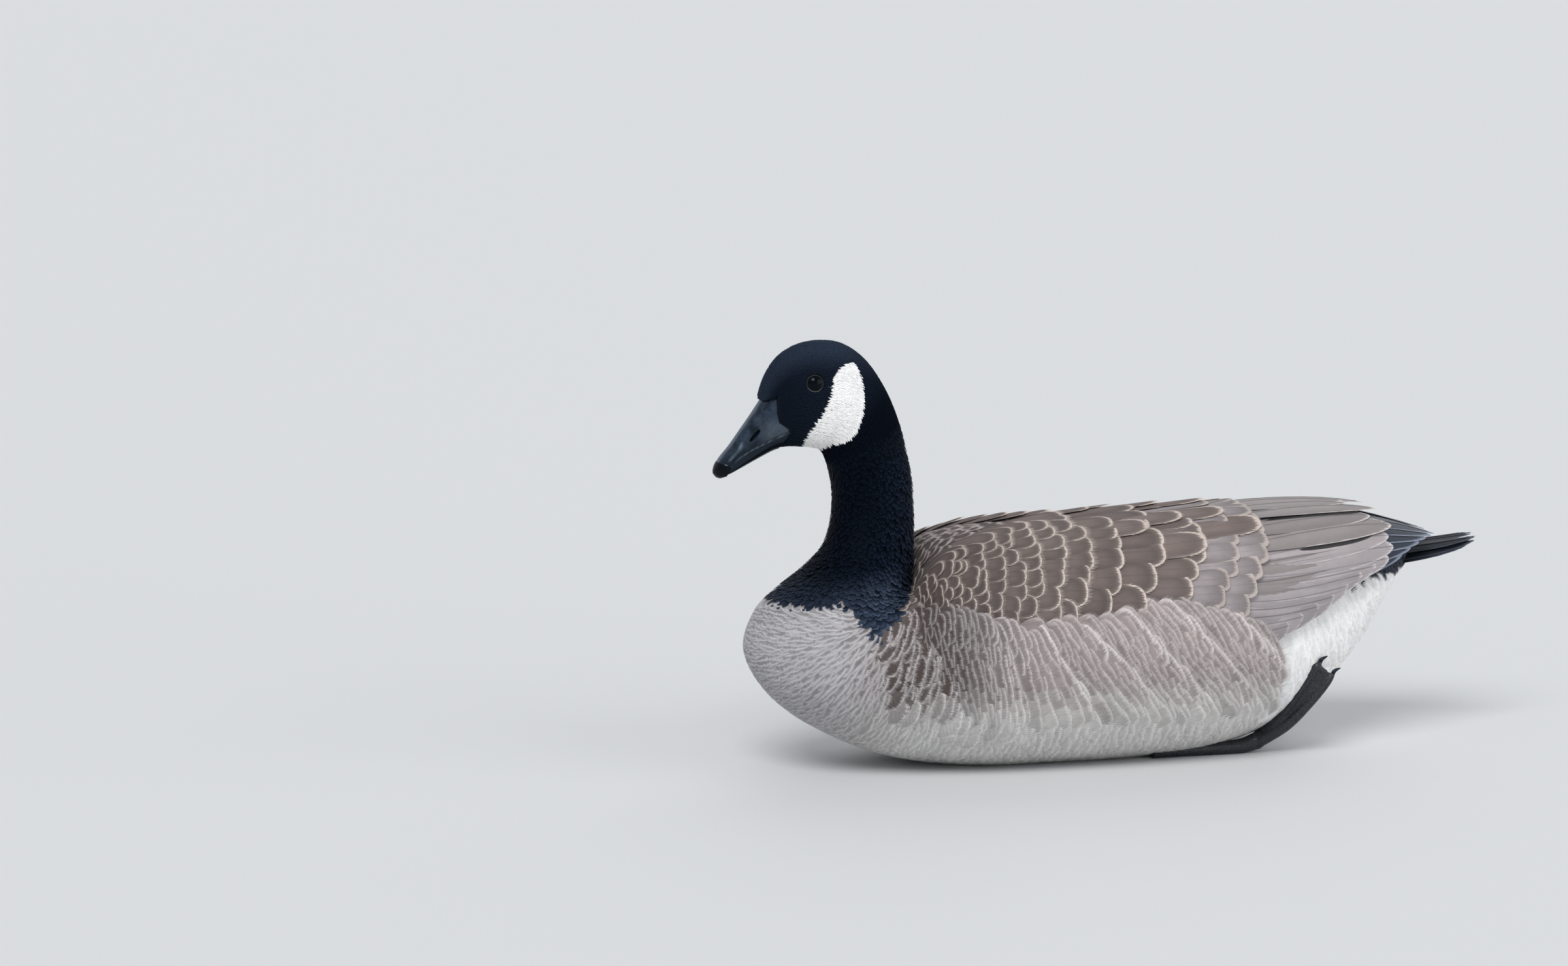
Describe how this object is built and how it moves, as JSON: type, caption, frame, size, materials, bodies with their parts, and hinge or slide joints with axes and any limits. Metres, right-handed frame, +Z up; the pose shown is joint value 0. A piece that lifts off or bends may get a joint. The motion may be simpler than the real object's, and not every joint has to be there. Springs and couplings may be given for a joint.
{
  "type": "canada goose",
  "caption": "Life-size still model of a Canada goose afloat, resting on its belly with folded wings, upright neck and lowered bill.",
  "frame": {"origin": "middle of the bird's footprint on the floor, under the belly", "axes": "+Z up, +X from the bill towards the tail, +Y towards the bird's right side"},
  "size_m": [0.5581, 0.1976, 0.2979],
  "materials": {
    "grey_plumage": "soft matt small feathers",
    "brown_plumage": "matt overlapping vanes with pale edges",
    "black_plumage": "velvety black short feathers",
    "bill": "smooth horn with a low gloss",
    "eye": "wet gloss",
    "foot": "fine scutes, low gloss"
  },
  "bodies": {
    "root": {"torso": "grey_plumage", "neck": "black_plumage", "head": "black_plumage", "bill_upper": "bill", "bill_lower": "bill", "eye_left": "eye", "eye_right": "eye", "wing_left": "brown_plumage", "wing_right": "brown_plumage", "tail": "black_plumage", "foot_left": "foot", "foot_right": "foot"}
  },
  "joints": []
}
